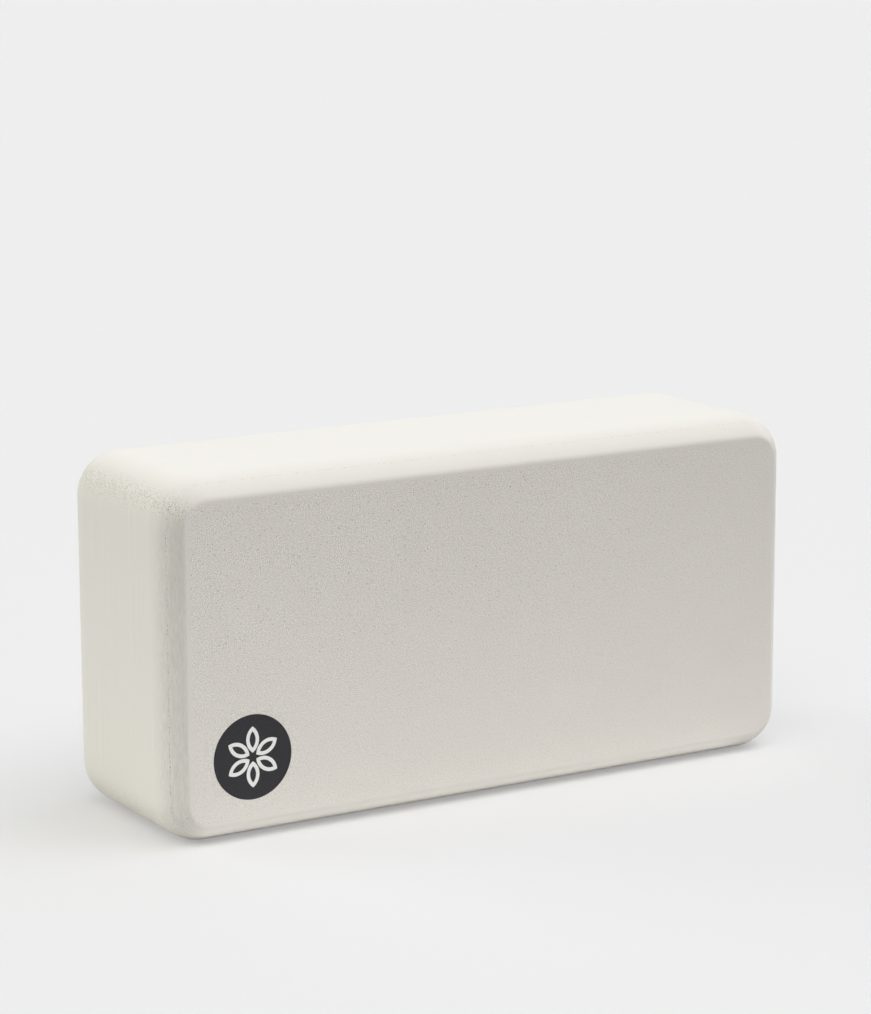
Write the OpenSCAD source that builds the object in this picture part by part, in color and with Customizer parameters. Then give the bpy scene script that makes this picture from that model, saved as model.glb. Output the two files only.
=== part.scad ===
// Foam exercise block with a round printed badge on one broad face.
// It stands on a long narrow side, with its base centred on the origin:
// X runs along the length, Y through the thickness and Z up. The badge faces -Y.
// Every module draws its part lying flat, badge upwards, and stand() tips it up.

/* [Block] */
// Length from end to end
block_length = 228.6; // [180:0.1:320]
// Height, standing on a long narrow side
block_height = 113; // [90:0.5:160]
// Thickness between the two broad faces
block_thickness = 70; // [50:0.5:110]

/* [Rounding] */
// Radius of the four corners, seen square to a broad face
corner_radius = 14; // [14:0.5:30]
// Radius of the long round between the narrow sides and a broad face
edge_radius = 14; // [6:0.5:14]
// Degrees that this round turns through before it meets the broad face in a crease
edge_sweep = 55; // [35:1:65]

/* [Badge] */
// Diameter of the printed disc
badge_diameter = 26.6; // [14:0.2:30]
// Distance from the left end of the block to the middle of the disc
badge_from_end = 27.6; // [26:0.1:60]
// Distance from the base to the middle of the disc
badge_from_base = 26.2; // [26:0.1:50]
// Depth to which the print is pressed into the foam, its face flush with it
print_depth = 0.2; // [0.1:0.05:0.6]

/* [Motif] */
// Number of petals in the white rosette
petal_count = 6; // [6:1:8]
// Reach of the petal tips, as a share of the disc's radius
petal_reach = 0.72; // [0.6:0.02:0.76]
// Open space at the middle, as a share of the disc's radius
petal_start = 0.1; // [0.08:0.01:0.15]
// Share of the room between its neighbours that each petal fills
petal_fill = 0.7; // [0.4:0.02:0.74]
// Width of the petal's outline, as a share of the petal's width
line_share = 0.27; // [0.15:0.01:0.35]
// Turn of the rosette, in degrees
motif_turn = 30; // [0:1:60]

/* [Hidden] */
$fn = 96;

// plan of the block between its four corner axes
run_x = block_length - 2 * corner_radius;
run_y = block_height - 2 * corner_radius;
half_thick = block_thickness / 2;

// the round starts at the edge of the straight narrow side, and stops at the broad face
side_half = half_thick - edge_radius * sin(edge_sweep);
round_centre = corner_radius - edge_radius;

// middle of the badge, measured from the middle of the broad face
badge_x = badge_from_end - block_length / 2;
badge_y = badge_from_base - block_height / 2;
badge_radius = badge_diameter / 2;

// one petal: two arcs of petal_bow radius, whose centres lie arc_centre off its midline
tip_near = petal_start * badge_radius;
tip_far = petal_reach * badge_radius;
petal_middle = (tip_near + tip_far) / 2;
half_length = (tip_far - tip_near) / 2;
half_width = petal_fill * petal_middle * tan(180 / petal_count);
petal_bow = (half_length ^ 2 + half_width ^ 2) / (2 * half_width);
arc_centre = petal_bow - half_width;
line_width = 2 * line_share * half_width;

// tips a flat-lying part up on to its long narrow side
module stand() {
    translate([0, 0, block_height / 2])
        rotate([90, 0, 0])
            children();
}

// edge section, from a corner axis outwards: straight side, then a round to each broad face
module edge_section() {
    intersection() {
        translate([0, -half_thick])
            square([corner_radius, block_thickness]);
        union() {
            translate([0, -side_half])
                square([corner_radius, 2 * side_half]);
            for (side = [-1, 1])
                translate([round_centre, side * side_half])
                    circle(edge_radius);
            if (round_centre > 0)
                translate([0, -half_thick])
                    square([round_centre, block_thickness]);
        }
    }
}

// straight stretch of edge, its outer side reach away from the block's middle
module edge_run(run, reach) {
    translate([-run / 2, reach - corner_radius, 0])
        rotate([90, 0, 90])
            linear_extrude(run)
                edge_section();
}

// one rounded corner, standing on its own axis
module corner_turn() {
    rotate_extrude(angle = 90)
        edge_section();
}

module block_shape() {
    cube([run_x, run_y, block_thickness], center = true);
    for (turn = [0, 180]) {
        rotate(turn)
            edge_run(run_x, block_height / 2);
        rotate(turn + 90)
            edge_run(run_y, block_length / 2);
        rotate(turn)
            translate([run_x / 2, run_y / 2, 0])
                corner_turn();
        rotate(turn)
            translate([-run_x / 2, run_y / 2, 0])
                rotate(90)
                    corner_turn();
    }
}

// places a flat outline as a print, its face level with the broad face
module print_layer() {
    translate([badge_x, badge_y, half_thick - print_depth])
        linear_extrude(print_depth)
            children();
}

// lens between two crossing arcs
module lens(bow) {
    intersection() {
        translate([0, arc_centre])
            circle(bow);
        translate([0, -arc_centre])
            circle(bow);
    }
}

module rosette() {
    for (i = [0 : petal_count - 1])
        rotate(motif_turn + i * 360 / petal_count)
            translate([petal_middle, 0])
                difference() {
                    lens(petal_bow);
                    lens(petal_bow - line_width);
                }
}

module foam_block() {
    color("#d8d4cc")
        stand()
            difference() {
                block_shape();
                print_layer()
                    circle(badge_radius);
            }
}

module badge_disc() {
    color("#2e2e32")
        stand()
            print_layer()
                difference() {
                    circle(badge_radius);
                    rosette();
                }
}

module badge_motif() {
    color("#e8eae8")
        stand()
            print_layer()
                rosette();
}

foam_block();
badge_disc();
badge_motif();
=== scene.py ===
import math

import bpy
import numpy as np
from mathutils import Matrix, Vector


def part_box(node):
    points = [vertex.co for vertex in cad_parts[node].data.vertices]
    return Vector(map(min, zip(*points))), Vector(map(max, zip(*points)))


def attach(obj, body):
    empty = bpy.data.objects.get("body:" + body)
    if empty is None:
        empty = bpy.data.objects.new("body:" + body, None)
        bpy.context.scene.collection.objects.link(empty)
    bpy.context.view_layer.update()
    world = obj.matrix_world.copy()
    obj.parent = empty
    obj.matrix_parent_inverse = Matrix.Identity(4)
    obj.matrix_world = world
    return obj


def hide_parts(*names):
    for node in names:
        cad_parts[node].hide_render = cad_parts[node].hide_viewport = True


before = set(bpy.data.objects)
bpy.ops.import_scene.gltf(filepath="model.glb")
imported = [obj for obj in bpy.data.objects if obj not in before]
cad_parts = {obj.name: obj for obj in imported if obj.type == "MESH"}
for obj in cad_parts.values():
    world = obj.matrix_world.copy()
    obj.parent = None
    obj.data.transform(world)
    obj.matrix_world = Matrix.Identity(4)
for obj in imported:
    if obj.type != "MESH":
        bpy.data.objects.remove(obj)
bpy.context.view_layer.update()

lowCorner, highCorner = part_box("foam_block")
blockLength, blockThickness, blockHeight = highCorner - lowCorner
millimetre = 0.001
print("frame loaded, block size in mm",
      [round(side / millimetre, 1) for side in (blockLength, blockThickness, blockHeight)])


def linearColour(hexColour):
    # each sRGB channel turned to linear: v/12.92 below 0.04045, else ((v + 0.055) / 1.055) ^ 2.4
    channels = [int(hexColour[i:i + 2], 16) / 255 for i in (1, 3, 5)]
    return [c / 12.92 if c <= 0.04045 else ((c + 0.055) / 1.055) ** 2.4 for c in channels] + [1.0]


def addNode(tree, kind, settings=None, links=None):
    # one node: settings are its properties, or input sockets by name or number; links feed its inputs,
    # each from a socket, or from a node, which stands for its first output
    node = tree.nodes.new(kind)
    for key, value in (settings or {}).items():
        if isinstance(key, str) and hasattr(node, key):
            setattr(node, key, value)
        else:
            node.inputs[key].default_value = value
    for key, source in (links or {}).items():
        socket = source.outputs[0] if isinstance(source, bpy.types.Node) else source
        tree.links.new(socket, node.inputs[key])
    return node


def newMaterial(name):
    material = bpy.data.materials.new(name)
    material.use_nodes = True
    material.node_tree.nodes.clear()
    return material, material.node_tree


def newPiece(name, points, faces, smooth=True):
    mesh = bpy.data.meshes.new(name)
    mesh.from_pydata(points.tolist(), [], faces.tolist())
    mesh.polygons.foreach_set("use_smooth", np.full(len(faces), smooth))
    mesh.validate()
    mesh.update()
    piece = bpy.data.objects.new(name, mesh)
    bpy.context.scene.collection.objects.link(piece)
    return piece


# camera: a long lens a little above the block, off its left end
cameraSetup = {
    "place": (-0.5341, -0.8839, 0.2966),
    "yaw": 31.11,        # degrees from +Y towards +X
    "pitch": -11.41,
    "roll": -0.18,
    "lens": 116.33,      # mm
    "sensor": 36,        # mm, its long side
    "farthest": 100,     # metres, past the floor's far edge
}


def placeCamera():
    camera = bpy.data.cameras.new("camera")
    camera.sensor_width = cameraSetup["sensor"]
    camera.lens = cameraSetup["lens"]
    camera.clip_end = cameraSetup["farthest"]
    eye = bpy.data.objects.new("camera", camera)
    bpy.context.scene.collection.objects.link(eye)
    # turned about Z by the yaw, tipped from straight down by 90 degrees plus the pitch, then rolled
    turn = (Matrix.Rotation(-math.radians(cameraSetup["yaw"]), 4, "Z")
            @ Matrix.Rotation(math.radians(90 + cameraSetup["pitch"]), 4, "X")
            @ Matrix.Rotation(math.radians(cameraSetup["roll"]), 4, "Z"))
    eye.matrix_world = Matrix.Translation(cameraSetup["place"]) @ turn
    bpy.context.scene.camera = eye


placeCamera()
print("camera placed")

# the foam body
blockShape = {
    "cornerRadius": 14 * millimetre,      # corners, seen square to a broad face
    "edgeRadius": 14 * millimetre,        # long round from the narrow sides to the crease
    "edgeSweep": 55,                      # degrees that the round turns through
    "creaseRadius": 1.4 * millimetre,     # softness where the round meets the broad face, at the ends
    "rubbedRadius": 2.6 * millimetre,     # and along the top and bottom, which are handled most
    "spacing": 1.15 * millimetre,         # of the mesh
    "roundCrowding": 1.2,                 # rows are this much closer together on the long round
    "creaseSteps": 6,                     # rows over the crease
    "witnessTurn": 30,                    # degrees up the round to the mould's parting line
    "witnessHalfWidth": 0.28 * millimetre,
    "witnessClear": 1.8,                  # half widths from it to the rows either side
    "witnessDepth": 0.11 * millimetre,
    "witnessGaps": 9,                     # points of the ring for each wave of its breaks
    "witnessContrast": 4.2,               # how sharply it breaks off
    "witnessMissing": 1.5,                # and how much of it is missing
    "ridgeDepth": 0.012 * millimetre,     # shallow ridges running round the narrow sides
    "ridgeWaves": 9,                      # they deepen and fade this often round the block, at most
    "ridgeSteady": 0.4,                   # share of their depth that never fades
    "sagDepth": 0.10 * millimetre,        # slow unevenness of the narrow sides
    "sagWaves": 7,
    "undersideFade": 1.6,                 # how fast both end towards the underside, which stays flat
    "dishDepth": 0.06 * millimetre,       # foam pressed down under the badge by the printing pad
    "dishFade": 3.5 * millimetre,         # width of the slope back up from it
    "seed": 7,
}


def sideOfOutline(halfRun, halfDepth, radius, count):
    # one side of a rounded rectangle, from the middle of one corner to the middle of the next, evenly
    # spaced: t runs along the straight, then turns by t / radius about the corner's centre
    straight = halfRun - radius
    reach = straight + radius * math.pi / 4
    t = np.linspace(-reach, reach, count)
    turn = np.clip((np.abs(t) - straight) / radius, 0, None)
    along = np.clip(t, -straight, straight) + np.sign(t) * radius * np.sin(turn)
    out = halfDepth - radius + radius * np.cos(turn)
    return along, out, np.sign(t) * np.sin(turn), np.cos(turn)


def outlineRing(halfX, halfZ, radius, countX, countZ):
    # the four sides in turn: bottom left to right, right side up, top right to left, left side down;
    # gives x, z and the outward direction at each point, with no point twice
    ax, ox, sx, cx = sideOfOutline(halfX, halfZ, radius, countX)
    az, oz, sz, cz = sideOfOutline(halfZ, halfX, radius, countZ)
    x = np.concatenate([ax[:-1], oz[:-1], -ax[:-1], -oz[:-1]])
    z = np.concatenate([-ox[:-1], az[:-1], ox[:-1], -az[:-1]])
    outX = np.concatenate([sx[:-1], cz[:-1], -sx[:-1], -cz[:-1]])
    outZ = np.concatenate([-cx[:-1], sz[:-1], cx[:-1], -sz[:-1]])
    return x, z, outX, outZ


def edgeProfile(shape, halfThick, longSide):
    # front half of the section at each point of the ring, from the broad face's rim to the middle of
    # the narrow side: a small arc tangent to the face, then the long round about its own centre, then
    # the straight side. longSide is 1 along the top and bottom and 0 along the ends.
    # Gives each point's distance in from the narrow side, its distance behind the broad face's plane,
    # and the share of the parting line's depth that each row takes.
    big = shape["edgeRadius"]
    small = shape["creaseRadius"] + (shape["rubbedRadius"] - shape["creaseRadius"]) * longSide
    depth = big * math.sin(math.radians(shape["edgeSweep"]))
    # the small arc's centre is small behind the face and (big - small) from the round's centre
    rise = depth - small
    across = np.sqrt((big - small) ** 2 - rise ** 2)
    meet = np.arctan2(rise, across)
    smallTurn = np.linspace(np.full(len(meet), math.pi / 2), meet, shape["creaseSteps"] + 1)
    # the round has even rows above and below the parting line, which has three rows of its own
    lineTurn = math.radians(shape["witnessTurn"])
    lineWidth = shape["witnessHalfWidth"] / big
    clear = shape["witnessClear"] * lineWidth
    rowsPerTurn = shape["roundCrowding"] * big / shape["spacing"]
    above = np.linspace(meet, np.full(len(meet), lineTurn + clear),
                        int(rowsPerTurn * (meet.max() - lineTurn)) + 1)[1:]
    below = np.linspace(lineTurn - clear, 0, int(rowsPerTurn * lineTurn) + 1)
    rest = np.concatenate([lineTurn + lineWidth * np.array([1, 0, -1]), below])
    bigTurn = np.concatenate([above, np.broadcast_to(rest[:, None], (len(rest), len(meet)))])
    sideRows = int((halfThick - depth) / shape["spacing"]) + 1
    side = np.linspace(depth, halfThick, sideRows + 1)[1:]
    inward = np.concatenate([big - across - small * np.cos(smallTurn), big - big * np.cos(bigTurn),
                             np.zeros((sideRows, len(meet)))])
    back = np.concatenate([small - small * np.sin(smallTurn), depth - big * np.sin(bigTurn),
                           np.broadcast_to(side[:, None], (sideRows, len(meet)))])
    line = np.zeros(len(inward))
    line[len(smallTurn) + len(above) + 1] = 1
    return inward, back, line


def slowWave(count, waves, rng):
    # closed curve from 0 to 1: cosines of 1 to waves turns with random phase and falling height
    turn = np.linspace(0, 2 * math.pi, count, endpoint=False)
    order = np.arange(1, waves + 1)
    phase = rng.uniform(0, 2 * math.pi, waves)
    height = rng.uniform(0.5, 1, waves) / np.sqrt(order)
    curve = (height[:, None] * np.cos(order[:, None] * turn + phase[:, None])).sum(0)
    return (curve - curve.min()) / np.ptp(curve)


def bandRelief(shape, back, line, outZ):
    # how far each point of the band lies below the true section, always inwards: ridges, which change
    # from row to row and grow from nothing at the rim; the sag, which changes slowly along and is
    # deepest at the middle of the narrow side (sine squared); and the broken parting line.
    # Ridges and sag end before the underside.
    rng = np.random.default_rng(shape["seed"])
    rows, ring = back.shape
    ridge = np.convolve(rng.uniform(0, 1, rows + 2), [0.25, 0.5, 0.25], "valid")[:, None]
    drift = slowWave(ring, shape["ridgeWaves"], rng) * (1 - shape["ridgeSteady"]) + shape["ridgeSteady"]
    sag = slowWave(ring, shape["sagWaves"], rng)
    middle = np.sin(np.clip(back / back.max(), 0, 1) * math.pi / 2) ** 2
    fromRim = np.clip(back / shape["edgeRadius"], 0, 1)
    standing = np.clip(1 + outZ * shape["undersideFade"], 0, 1)
    broken = slowWave(ring, ring // shape["witnessGaps"], rng)
    broken = np.clip(broken * shape["witnessContrast"] - shape["witnessMissing"], 0, 1)
    relief = shape["ridgeDepth"] * ridge * drift * fromRim * standing
    relief = relief + shape["sagDepth"] * sag * middle * standing
    return relief + shape["witnessDepth"] * line[:, None] * broken


def coonsPatch(x, z, countX, countZ):
    # fills a closed ring of four sides: the blend of opposite sides, both ways, less that of the corners
    a, b = countX - 1, countZ - 1
    bottom, right = slice(0, a + 1), slice(a, a + b + 1)
    ring = np.stack([x, z], -1)
    closed = np.concatenate([ring, ring[:1]])
    low, up = closed[bottom], closed[right]
    high, down = closed[a + b:2 * a + b + 1][::-1], closed[2 * a + b:][::-1]
    s = np.linspace(0, 1, countX)[None, :, None]
    t = np.linspace(0, 1, countZ)[:, None, None]
    sides = (1 - t) * low[None] + t * high[None] + (1 - s) * down[:, None] + s * up[:, None]
    corners = ((1 - s) * (1 - t) * low[0] + s * (1 - t) * low[-1]
               + (1 - s) * t * high[0] + s * t * high[-1])
    return sides - corners


def badgeDish(shape, x, z):
    # full depth to one mesh spacing past the disc's edge, then a smooth step (3t^2 - 2t^3) back up
    low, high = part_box("badge_disc")
    middle, radius = (low + high) / 2, (high[0] - low[0]) / 2
    away = np.hypot(x - middle[0], z - middle[2]) - radius - shape["spacing"]
    t = np.clip(1 - away / shape["dishFade"], 0, 1)
    return shape["dishDepth"] * t * t * (3 - 2 * t)


def blockSurface(shape):
    # rows of the section carried round the outline, closed by a filled patch over each broad face
    halfThick = blockThickness / 2
    # the ring that everything is measured from lies as far in as the deepest rim
    inset = edgeProfile(shape, halfThick, np.ones(1))[0][0, 0]
    halfX, halfZ = blockLength / 2 - inset, blockHeight / 2 - inset
    countX = int(2 * halfX / shape["spacing"]) | 1
    countZ = int(2 * halfZ / shape["spacing"]) | 1
    x, z, outX, outZ = outlineRing(halfX, halfZ, shape["cornerRadius"] - inset, countX, countZ)
    inward, back, line = edgeProfile(shape, halfThick, outZ ** 2)
    y = np.concatenate([back - halfThick, halfThick - back[-2::-1]])
    inward, back, line = (np.concatenate([row, row[-2::-1]]) for row in (inward, back, line))
    rows, ring = y.shape
    reach = inset - inward - bandRelief(shape, back, line, outZ)
    band = np.stack([x + outX * reach, y, z + outZ * reach + blockHeight / 2], -1)
    rimX, rimZ = band[0, :, 0], band[0, :, 2] - blockHeight / 2
    band = band.reshape(-1, 3)
    here = np.arange(rows - 1)[:, None] * ring + np.arange(ring)[None]
    ahead = np.arange(rows - 1)[:, None] * ring + (np.arange(ring)[None] + 1) % ring
    bandFaces = np.stack([here, here + ring, ahead + ring, ahead], -1).reshape(-1, 4)
    patch = coonsPatch(rimX, rimZ, countX, countZ)
    inner = patch[1:-1, 1:-1].reshape(-1, 2)
    points, faces = [band], [bandFaces]
    start = rows * ring
    for rimRow, planeY in ((0, -halfThick), (rows - 1, halfThick)):
        level = np.full(len(inner), planeY)
        if planeY < 0:
            level = level + badgeDish(shape, inner[:, 0], inner[:, 1] + blockHeight / 2)
        points.append(np.stack([inner[:, 0], level, inner[:, 1] + blockHeight / 2], -1))
        grid = np.empty((countZ, countX), int)
        grid[1:-1, 1:-1] = start + np.arange(len(inner)).reshape(countZ - 2, countX - 2)
        edge = rimRow * ring + np.arange(ring)
        a, b = countX - 1, countZ - 1
        grid[0, :a] = edge[:a]
        grid[:b, -1] = edge[a:a + b]
        grid[-1, :0:-1] = edge[a + b:2 * a + b]
        grid[:0:-1, 0] = edge[2 * a + b:]
        quads = np.stack([grid[:-1, :-1], grid[:-1, 1:], grid[1:, 1:], grid[1:, :-1]], -1).reshape(-1, 4)
        faces.append(quads if planeY < 0 else quads[:, ::-1])
        start += len(inner)
    return np.concatenate(points), np.concatenate(faces)


def makeBlock():
    points, faces = blockSurface(blockShape)
    block = newPiece("foamBlock", points, faces)
    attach(block, "root")
    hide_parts("foam_block")
    return block


block = makeBlock()
print("foam body made,", len(block.data.polygons), "faces")


foamLook = {
    # two creams, mixed half and half where nothing marks them, for a warm off-white
    "paleColour": "#fbf8f0",
    "deepColour": "#cecbc4",
    "poreShadeColour": "#a09a8e",             # painted shade inside an open pore
    "lineShadeColour": "#8a8377",             # and painted shade inside the parting line's groove and pores
    "roughness": 0.88,                   # closed-cell skin, dull all over
    "ior": 1.48,                         # ethylene-vinyl acetate
    "faceFade": (0.02 * millimetre, 0.4 * millimetre),    # its grain fades this far behind the broad face
    "creaseFade": 1.5 * millimetre,      # smoother strip of the broad face beside the crease
    "creaseGrain": 0.15,                 # share of the grain left at the crease
    "cornerTurn": 60,                    # degrees from the top or base to the middle of a corner's band
    "cornerReach": 30,                   # and how far either side of that it fades out
    "topAndBaseShare": 0.35,                     # share of the line and ridges left on the top and the base
    "grainLow": 0.48,                    # share of the grain near the base
    "grainRise": (0.1, 0.8),             # shares of the height over which it grows
    "grainFar": 0.66,                    # share of it at the right-hand end, where the cut is closer
    "grainRun": (0.0, 0.45),             # shares of the length, from the middle, where it closes
    "grainSize": 0.34 * millimetre,      # cells are 0.1 to 0.3 mm: drawn a little coarser, to show
    "grainHeight": 0.050 * millimetre,
    "grainToneAndShade": 4.0,                    # how strongly it shifts the colour: partly the foam's own tone, partly painted shade of its open cells
    "cornerToneAndShade": 3.4,                   # and in the corners' rough band, also partly painted shade of its cells
    "fineness": 0.6,                     # strength of each finer layer of a mark, against the last
    "tornLength": 1.01,                  # just off 1, so that the pits are out of step with the grain
    "strokeLength": 9,                   # times longer than wide
    "strokeFade": 0.5,                   # strokes fade from this share of the round's depth to its foot
    "strokeHeight": 0.030 * millimetre,
    "strokeTone": 0.8,
    "ridgeSize": 1.1 * millimetre,
    "ridgeLength": 60,
    "ridgeHeight": 0.016 * millimetre,
    "ridgeTone": 0.24,
    "ridgePatch": 12 * millimetre,       # they come and go over about this far
    "ridgeRange": (0.42, 0.66),          # part of that noise's range over which they come
    "ridgeLeast": 0.15,
    "poreSpacing": 0.8 * millimetre,
    "poreShare": 0.6,                    # cells of that spacing that hold an open pore
    "poreRadius": 0.22 * millimetre,     # of the largest
    "poreEdge": 0.08,                    # softness of its edge, as a share of the spacing
    "poreDepth": 0.08 * millimetre,
    "skinPores": 0.28,                   # size of a pore on the moulded skin, against that on a cut face
    "pitRange": (0.09, 0.21),            # height of the torn noise over which a pit opens
    "pitShade": 0.7,
    "lineFade": (0.03 * millimetre, 0.16 * millimetre),   # the parting line fades this far off its middle
    "linePoreSpacing": 0.9 * millimetre,
    "lineFineness": 0.75,
    "lineRange": (0.50, 0.64),           # part of that noise's range over which its pores open
}


def foamMaterial():
    # EVA foam, moulded and then skived to thickness: the broad faces are cut, and show fine open grain
    # with scattered pinholes, and the narrow sides keep a smooth skin with faint marks round the block
    look = foamLook
    material, tree = newMaterial("moulded EVA foam")
    place = addNode(tree, "ShaderNodeTexCoord").outputs["Object"]
    axes = addNode(tree, "ShaderNodeSeparateXYZ", {}, {0: place})
    # distances from the block's middle, each way
    out = addNode(tree, "ShaderNodeVectorMath",
                  {"operation": "SUBTRACT", 1: (0, 0, blockHeight / 2)}, {0: place})
    out = addNode(tree, "ShaderNodeVectorMath", {"operation": "ABSOLUTE"}, {0: out})
    halves = addNode(tree, "ShaderNodeSeparateXYZ", {}, {0: out})

    # where the surface is, by its distance behind the nearer broad face: on that face or on the round
    roundDepth = blockShape["edgeRadius"] * math.sin(math.radians(blockShape["edgeSweep"]))
    behind = addNode(tree, "ShaderNodeMath",
                     {"operation": "SUBTRACT", 0: blockThickness / 2}, {1: halves.outputs["Y"]})
    onFace = addNode(tree, "ShaderNodeMapRange",
                     {"interpolation_type": "SMOOTHSTEP", "From Min": look["faceFade"][0],
                      "From Max": look["faceFade"][1], "To Min": 1.0, "To Max": 0.0}, {"Value": behind})
    onRound = addNode(tree, "ShaderNodeMapRange",
                      {"interpolation_type": "SMOOTHSTEP", "From Min": roundDepth * look["strokeFade"],
                       "From Max": roundDepth, "To Min": 1.0, "To Max": 0.0}, {"Value": behind})
    onRound = addNode(tree, "ShaderNodeMath",
                      {"operation": "SUBTRACT", "use_clamp": True}, {0: onRound, 1: onFace})

    # grain on the flat of the face, by the distance in from the crease, the smaller of the two ways
    rim = blockShape["edgeRadius"] * (1 - math.cos(math.radians(blockShape["edgeSweep"])))
    rim = rim + blockShape["creaseRadius"] / 2
    room = addNode(tree, "ShaderNodeVectorMath",
                   {"operation": "SUBTRACT", 0: (blockLength / 2 - rim, 0, blockHeight / 2 - rim)},
                   {1: out})
    room = addNode(tree, "ShaderNodeSeparateXYZ", {}, {0: room})
    room = addNode(tree, "ShaderNodeMath",
                   {"operation": "MINIMUM"}, {0: room.outputs["X"], 1: room.outputs["Z"]})
    room = addNode(tree, "ShaderNodeMapRange",
                   {"interpolation_type": "SMOOTHSTEP", "From Min": 0.0, "From Max": look["creaseFade"],
                    "To Min": look["creaseGrain"], "To Max": 1.0}, {"Value": room})
    onFlat = addNode(tree, "ShaderNodeMath", {"operation": "MULTIPLY"}, {0: onFace, 1: room})

    # corners: how far into one, lengthwise and upwards, and the angle round it from the top or the base
    radius = blockShape["cornerRadius"]
    turnX = addNode(tree, "ShaderNodeMapRange",
                    {"From Min": blockLength / 2 - radius, "From Max": blockLength / 2},
                    {"Value": halves.outputs["X"]})
    turnZ = addNode(tree, "ShaderNodeMapRange",
                    {"From Min": blockHeight / 2 - radius, "From Max": blockHeight / 2},
                    {"Value": halves.outputs["Z"]})
    angle = addNode(tree, "ShaderNodeMath", {"operation": "ARCTAN2"}, {0: turnX, 1: turnZ})
    angle = addNode(tree, "ShaderNodeMath",
                    {"operation": "SUBTRACT", 1: math.radians(look["cornerTurn"])}, {0: angle})
    angle = addNode(tree, "ShaderNodeMath", {"operation": "ABSOLUTE"}, {0: angle})
    onCorner = addNode(tree, "ShaderNodeMapRange",
                       {"interpolation_type": "SMOOTHSTEP", "From Min": 0.0,
                        "From Max": math.radians(look["cornerReach"]), "To Min": 1.0, "To Max": 0.0},
                       {"Value": angle})
    onCorner = addNode(tree, "ShaderNodeMath",
                       {"operation": "SUBTRACT", "use_clamp": True}, {0: onCorner, 1: onFace})
    # strokes keep to the ends' rounds
    onRound = addNode(tree, "ShaderNodeMath", {"operation": "MULTIPLY"}, {0: onRound, 1: turnX})

    # the parting line, with its painted shade, and the ridges are drawn fainter on the top and the base
    fadedTopAndBase = addNode(tree, "ShaderNodeMapRange", {"To Min": 1.0, "To Max": look["topAndBaseShare"]}, {"Value": turnZ})

    # the grain is drawn strongest towards the top and the badge's end; the rise towards the top also deepens
    # its painted shade, where light from above shows the grain most
    low, high = look["grainRise"]
    upward = addNode(tree, "ShaderNodeMapRange",
                     {"interpolation_type": "SMOOTHSTEP", "From Min": low * blockHeight,
                      "From Max": high * blockHeight, "To Min": look["grainLow"], "To Max": 1.0},
                     {"Value": axes.outputs["Z"]})
    near, far = look["grainRun"]
    along = addNode(tree, "ShaderNodeMapRange",
                    {"interpolation_type": "SMOOTHSTEP", "From Min": near * blockLength,
                     "From Max": far * blockLength, "To Min": 1.0, "To Max": look["grainFar"]},
                    {"Value": axes.outputs["X"]})
    grainAmount = addNode(tree, "ShaderNodeMath", {"operation": "MULTIPLY"}, {0: upward, 1: along})
    faceGrain = addNode(tree, "ShaderNodeMath", {"operation": "MULTIPLY"}, {0: grainAmount, 1: onFlat})
    cornerGrain = addNode(tree, "ShaderNodeMath", {"operation": "MULTIPLY"}, {0: grainAmount, 1: onCorner})

    # noises about 0: grain, the same every way; torn, a second grain for the pits; strokes, drawn out
    # along the round; ridges, running right round the block
    marks = {}
    for kind, length, width, detail in (("grain", 1, look["grainSize"], 2.0),
                                        ("torn", look["tornLength"], look["grainSize"], 1.0),
                                        ("stroke", look["strokeLength"], look["grainSize"], 1.0),
                                        ("ridge", look["ridgeLength"], look["ridgeSize"], 2.0)):
        drawn = addNode(tree, "ShaderNodeVectorMath",
                        {"operation": "MULTIPLY", 1: (1 / length, 1, 1 / length)}, {0: place})
        noise = addNode(tree, "ShaderNodeTexNoise",
                        {"Scale": 1 / width, "Detail": detail, "Roughness": look["fineness"]},
                        {"Vector": drawn})
        marks[kind] = addNode(tree, "ShaderNodeMath", {"operation": "SUBTRACT", 1: 0.5}, {0: noise})
    patches = addNode(tree, "ShaderNodeTexNoise",
                      {"Scale": 1 / look["ridgePatch"], "Detail": 1.0}, {"Vector": place})
    patches = addNode(tree, "ShaderNodeMapRange",
                      {"interpolation_type": "SMOOTHSTEP", "From Min": look["ridgeRange"][0],
                       "From Max": look["ridgeRange"][1], "To Min": look["ridgeLeast"], "To Max": 1.0},
                      {"Value": patches})
    patches = addNode(tree, "ShaderNodeMath", {"operation": "MULTIPLY"}, {0: patches, 1: fadedTopAndBase})

    # open pores: round pits of many sizes, in some of the cells of a scattered pattern, and smaller
    # on the moulded skin than on the cut faces and the turned corners
    cells = addNode(tree, "ShaderNodeTexVoronoi", {"Scale": 1 / look["poreSpacing"]}, {"Vector": place})
    chance = addNode(tree, "ShaderNodeSeparateColor", {}, {"Color": cells.outputs["Color"]})
    reach = addNode(tree, "ShaderNodeMapRange",
                    {"From Min": 1 - look["poreShare"], "From Max": 1.0, "To Min": 0.0,
                     "To Max": look["poreRadius"] / look["poreSpacing"]}, {"Value": chance})
    skin = addNode(tree, "ShaderNodeMath", {"operation": "MAXIMUM"}, {0: faceGrain, 1: cornerGrain})
    skin = addNode(tree, "ShaderNodeMapRange", {"To Min": look["skinPores"], "To Max": 1.0}, {"Value": skin})
    reach = addNode(tree, "ShaderNodeMath", {"operation": "MULTIPLY"}, {0: reach, 1: skin})
    inside = addNode(tree, "ShaderNodeMath",
                     {"operation": "SUBTRACT"}, {0: reach, 1: cells.outputs["Distance"]})
    pores = addNode(tree, "ShaderNodeMapRange",
                    {"interpolation_type": "SMOOTHSTEP", "From Min": 0.0, "From Max": look["poreEdge"]},
                    {"Value": inside})
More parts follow.
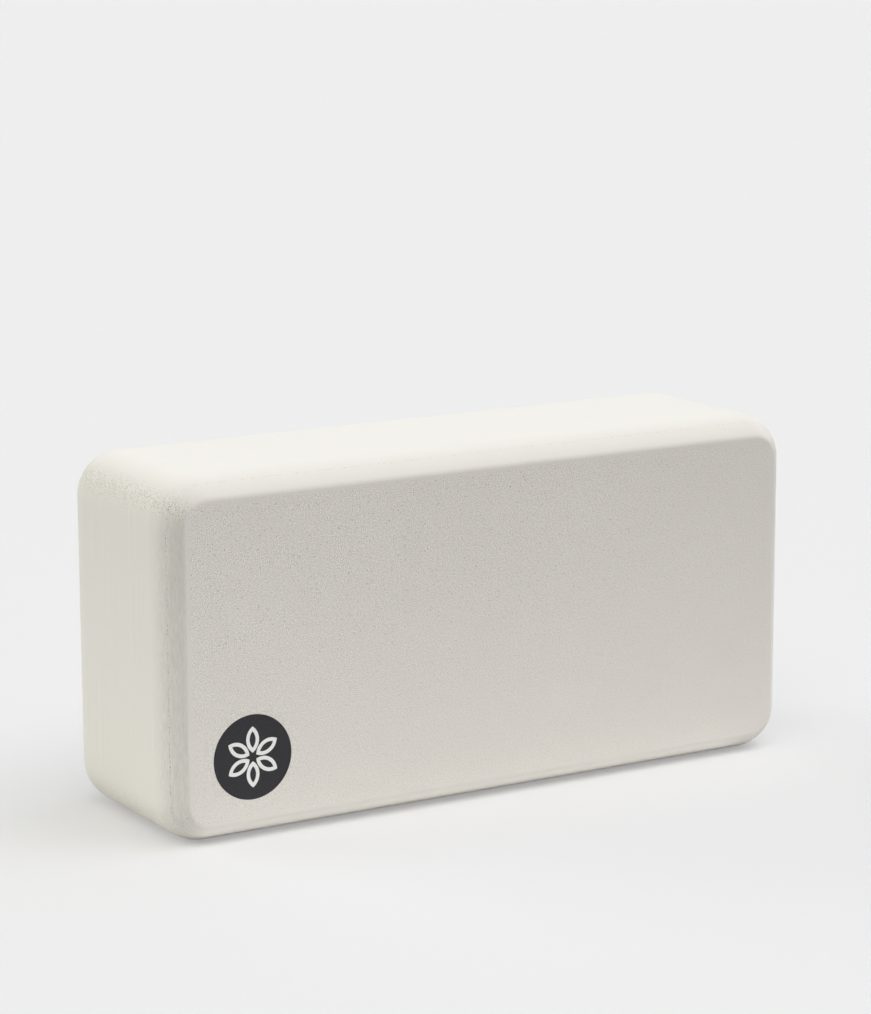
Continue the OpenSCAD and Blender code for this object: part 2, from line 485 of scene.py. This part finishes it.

    # the corners' rough band: torn pits, the size of the grain, which get the pores' painted shade
    pits = addNode(tree, "ShaderNodeMapRange",
                   {"interpolation_type": "SMOOTHSTEP", "From Min": look["pitRange"][0],
                    "From Max": look["pitRange"][1], "To Max": look["pitShade"]}, {"Value": marks["torn"]})
    pits = addNode(tree, "ShaderNodeMath", {"operation": "MULTIPLY"}, {0: pits, 1: cornerGrain})
    pores = addNode(tree, "ShaderNodeMath", {"operation": "MAXIMUM"}, {0: pores, 1: pits})

    # the parting line: a row of pores, in a band as wide as the groove, and missing here and there, darkened
    # with painted shade
    lineBack = roundDepth - blockShape["edgeRadius"] * math.sin(math.radians(blockShape["witnessTurn"]))
    offLine = addNode(tree, "ShaderNodeMath", {"operation": "SUBTRACT", 1: lineBack}, {0: behind})
    offLine = addNode(tree, "ShaderNodeMath", {"operation": "ABSOLUTE"}, {0: offLine})
    onLine = addNode(tree, "ShaderNodeMapRange",
                     {"interpolation_type": "SMOOTHSTEP", "From Min": look["lineFade"][0],
                      "From Max": look["lineFade"][1], "To Min": 1.0, "To Max": 0.0}, {"Value": offLine})
    beads = addNode(tree, "ShaderNodeTexNoise",
                    {"Scale": 1 / look["linePoreSpacing"], "Detail": 3.0,
                     "Roughness": look["lineFineness"]}, {"Vector": place})
    beads = addNode(tree, "ShaderNodeMapRange",
                    {"interpolation_type": "SMOOTHSTEP", "From Min": look["lineRange"][0],
                     "From Max": look["lineRange"][1]}, {"Value": beads})
    line = addNode(tree, "ShaderNodeMath", {"operation": "MULTIPLY"}, {0: onLine, 1: beads})
    line = addNode(tree, "ShaderNodeMath", {"operation": "MULTIPLY"}, {0: line, 1: fadedTopAndBase})
    holes = addNode(tree, "ShaderNodeMath", {"operation": "MAXIMUM"}, {0: pores, 1: line})

    # height in metres, and tone about one half: each mark times its own strength where it belongs; in the
    # grain and the corners' band the tone is partly painted shade, pale on the raised cells and dark in
    # their hollows
    height, tone = None, None
    for kind, where, rise, shift in (("grain", faceGrain, look["grainHeight"], look["grainToneAndShade"]),
                                     ("grain", cornerGrain, look["grainHeight"], look["cornerToneAndShade"]),
                                     ("stroke", onRound, look["strokeHeight"], look["strokeTone"]),
                                     ("ridge", patches, look["ridgeHeight"], look["ridgeTone"])):
        mark = addNode(tree, "ShaderNodeMath", {"operation": "MULTIPLY"}, {0: marks[kind], 1: where})
        height = addNode(tree, "ShaderNodeMath", {"operation": "MULTIPLY_ADD", 1: rise, 2: 0.0},
                         {0: mark, 2: height} if height else {0: mark})
        tone = addNode(tree, "ShaderNodeMath", {"operation": "MULTIPLY_ADD", 1: shift, 2: 0.5},
                       {0: mark, 2: tone} if tone else {0: mark})
    height = addNode(tree, "ShaderNodeMath", {"operation": "MULTIPLY_ADD", 1: -look["poreDepth"]},
                     {0: holes, 2: height})
    relief = addNode(tree, "ShaderNodeBump", {"Strength": 1.0, "Distance": 1.0}, {"Height": height})

    # colour: two creams mixed by the tone, which in the grain is partly painted shade, and painted shade
    # inside the pores and the line
    cream = addNode(tree, "ShaderNodeMix",
                    {"data_type": "RGBA", 6: linearColour(look["deepColour"]),
                     7: linearColour(look["paleColour"])}, {0: tone})
    # painted shade inside the pores and the torn pits, mixed in by their mask
    colour = addNode(tree, "ShaderNodeMix", {"data_type": "RGBA", 7: linearColour(look["poreShadeColour"])},
                     {0: pores, 6: cream.outputs[2]})
    # painted shade inside the parting line's groove and pores, mixed in by its mask
    colour = addNode(tree, "ShaderNodeMix", {"data_type": "RGBA", 7: linearColour(look["lineShadeColour"])},
                     {0: line, 6: colour.outputs[2]})
    shader = addNode(tree, "ShaderNodeBsdfPrincipled", {"Roughness": look["roughness"], "IOR": look["ior"]},
                     {"Base Color": colour.outputs[2], "Normal": relief})
    addNode(tree, "ShaderNodeOutputMaterial", {}, {"Surface": shader})
    return material


block.data.materials.append(foamMaterial())
print("foam material made")

# the badge, printed on the foam: the shape is the frame's own
inkLook = {
    "badge_disc": {"name": "dark pad printing ink", "colour": "#252529", "fadedColour": "#2f2f33"},
    "badge_motif": {"name": "white pad printing ink", "colour": "#f7f8f7", "fadedColour": "#eeefec"},
}
inkRelief = {
    "size": 0.45 * millimetre,
    "fineness": 0.6,
    "height": 0.015 * millimetre,
    "fadeFrom": 0.35,        # part of the grain's range over which the ink goes from full to faded
    "fadeTo": 0.7,
    "roughness": 0.7,        # matt, a little smoother than the foam
    "ior": 1.5,
}


def inkMaterial(look):
    # a thin matt ink: the foam's grain shows through it as a faint mottle and unevenness
    material, tree = newMaterial(look["name"])
    place = addNode(tree, "ShaderNodeTexCoord").outputs["Object"]
    grain = addNode(tree, "ShaderNodeTexNoise",
                    {"Scale": 1 / inkRelief["size"], "Detail": 2.0,
                     "Roughness": inkRelief["fineness"]}, {"Vector": place})
    tone = addNode(tree, "ShaderNodeMapRange",
                   {"From Min": inkRelief["fadeFrom"], "From Max": inkRelief["fadeTo"]}, {"Value": grain})
    colour = addNode(tree, "ShaderNodeMix",
                     {"data_type": "RGBA", 6: linearColour(look["colour"]),
                      7: linearColour(look["fadedColour"])}, {0: tone})
    relief = addNode(tree, "ShaderNodeBump",
                     {"Strength": 1.0, "Distance": inkRelief["height"]}, {"Height": grain})
    shader = addNode(tree, "ShaderNodeBsdfPrincipled",
                     {"Roughness": inkRelief["roughness"], "IOR": inkRelief["ior"]},
                     {"Base Color": colour.outputs[2], "Normal": relief})
    addNode(tree, "ShaderNodeOutputMaterial", {}, {"Surface": shader})
    return material


for nodeName, look in inkLook.items():
    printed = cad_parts[nodeName]
    printed.data.materials.clear()
    printed.data.materials.append(inkMaterial(look))
print("badge inks made")

# floor and light
studio = {
    "floorReach": 30.0,           # metres
    "floorGrey": 0.71,            # share of light that the table throws back up at the block
    "tableStart": 0.15,           # metres from the block over which that light fades out
    "tableEnd": 0.5,
    "tableShift": -0.095,         # the lit part of the table is off to the badge's end
    "seenColour": (0.452, 0.449, 0.441, 1.0),   # the same floor as seen, part lit
    "seenGlow": 0.334,            # and part glowing, which keeps its shadows pale
    "backdropGrey": 0.855,
}


def layFloor():
    # seen as one pale grey, while the light that it throws back fades out away from the block
    reach = studio["floorReach"]
    corners = np.array([(-reach, -reach, 0), (reach, -reach, 0), (reach, reach, 0), (-reach, reach, 0)])
    floor = newPiece("floor", corners, np.array([[0, 1, 2, 3]]), smooth=False)
    material, tree = newMaterial("painted studio floor")
    # distance from the brightest part, which is the block's footprint shifted along X:
    # the length of (|position - shift| - half size), with neither side of it below 0
    place = addNode(tree, "ShaderNodeTexCoord")
    away = addNode(tree, "ShaderNodeVectorMath",
                   {"operation": "SUBTRACT", 1: (studio["tableShift"], 0, 0)}, {0: place.outputs["Object"]})
    away = addNode(tree, "ShaderNodeVectorMath", {"operation": "ABSOLUTE"}, {0: away})
    away = addNode(tree, "ShaderNodeVectorMath",
                   {"operation": "SUBTRACT", 1: (blockLength / 2, blockThickness / 2, 0)}, {0: away})
    away = addNode(tree, "ShaderNodeVectorMath", {"operation": "MAXIMUM", 1: (0, 0, 0)}, {0: away})
    away = addNode(tree, "ShaderNodeVectorMath", {"operation": "LENGTH"}, {0: away})
    bounce = addNode(tree, "ShaderNodeMapRange",
                     {"interpolation_type": "SMOOTHSTEP", "From Min": studio["tableStart"],
                      "From Max": studio["tableEnd"], "To Min": studio["floorGrey"], "To Max": 0.0},
                     {"Value": away.outputs["Value"]})
    ray = addNode(tree, "ShaderNodeLightPath")
    shown = addNode(tree, "ShaderNodeMix", {"data_type": "RGBA", 7: studio["seenColour"]},
                    {0: ray.outputs["Is Camera Ray"], 6: bounce})
    glow = addNode(tree, "ShaderNodeMath", {"operation": "MULTIPLY", 1: studio["seenGlow"]},
                   {0: ray.outputs["Is Camera Ray"]})
    shader = addNode(tree, "ShaderNodeBsdfPrincipled",
                     {"Roughness": 1.0, "Specular IOR Level": 0.0, "Emission Color": (1, 1, 1, 1)},
                     {"Base Color": shown.outputs[2], "Emission Strength": glow})
    addNode(tree, "ShaderNodeOutputMaterial", {}, {"Surface": shader})
    floor.data.materials.append(material)


# broad soft lights: azimuth in degrees from -Y towards +X, elevation, width, strength, colour.
# Most come from above; rimRight skims the far end, and lowBackLeft fills the near one.
studioLights = {
    "overheadLeft": (-45, 60, 50, 1.41, (1.0, 0.98, 0.905)),
    "overheadFront": (45, 60, 50, 1.145, (0.985, 0.990, 1.0)),
    "overheadRight": (90, 60, 50, 0.80, (0.66, 0.73, 1.0)),
    "rimRight": (102, 10, 30, 0.52, (0.92, 0.95, 1.0)),
    "fillFront": (45, 25, 50, 0.60, (1.0, 0.91, 0.87)),
    "fillBackRight": (135, 25, 50, 0.31, (0.94, 1.0, 0.80)),
    "fillBackLeft": (-135, 25, 50, 0.746, (0.945, 1.0, 1.0)),
    "lowBackLeft": (-135, 8, 40, 1.33, (1.0, 0.964, 0.904)),
}
# what the bright table throws back up under the front edge
tableLip = {"place": (-0.005, -0.038, 0.0006), "length": 0.20, "width": 0.010, "watts": 0.0018}


def addSun(name, azimuth, elevation, spread, strength, colour):
    lamp = bpy.data.lights.new(name, "SUN")
    lamp.energy = strength
    lamp.angle = math.radians(spread)
    lamp.color = colour
    sun = bpy.data.objects.new(name, lamp)
    # towards = (sin a cos e, -cos a cos e, sin e), and the lamp's own Z points that way
    a, e = math.radians(azimuth), math.radians(elevation)
    towards = Vector((math.sin(a) * math.cos(e), -math.cos(a) * math.cos(e), math.sin(e)))
    sun.rotation_mode = "QUATERNION"
    sun.rotation_quaternion = towards.to_track_quat("Z", "Y")
    sun.location = towards
    bpy.context.scene.collection.objects.link(sun)


def addTableLip():
    # a lamp's own -Z is the way it shines, so half a turn about X points it up
    lamp = bpy.data.lights.new("tableLip", "AREA")
    lamp.shape = "RECTANGLE"
    lamp.size, lamp.size_y = tableLip["length"], tableLip["width"]
    lamp.energy = tableLip["watts"]
    lip = bpy.data.objects.new("tableLip", lamp)
    lip.location = tableLip["place"]
    lip.rotation_euler = (math.pi, 0, 0)
    lip.visible_camera = False
    bpy.context.scene.collection.objects.link(lip)


def makeWorld():
    # a pale backdrop to look at, which lights nothing
    world = bpy.data.worlds.new("studio")
    bpy.context.scene.world = world
    world.use_nodes = True
    tree = world.node_tree
    tree.nodes.clear()
    ray = addNode(tree, "ShaderNodeLightPath")
    grey = studio["backdropGrey"]
    backdrop = addNode(tree, "ShaderNodeBackground", {"Color": (grey, grey, grey, 1)},
                       {"Strength": ray.outputs["Is Camera Ray"]})
    addNode(tree, "ShaderNodeOutputWorld", {}, {"Surface": backdrop})


layFloor()
for lightName, values in studioLights.items():
    addSun(lightName, *values)
addTableLip()
makeWorld()
bpy.context.scene.view_settings.view_transform = "Standard"
print("stage lit with", len(studioLights), "broad lights and the table's lip")
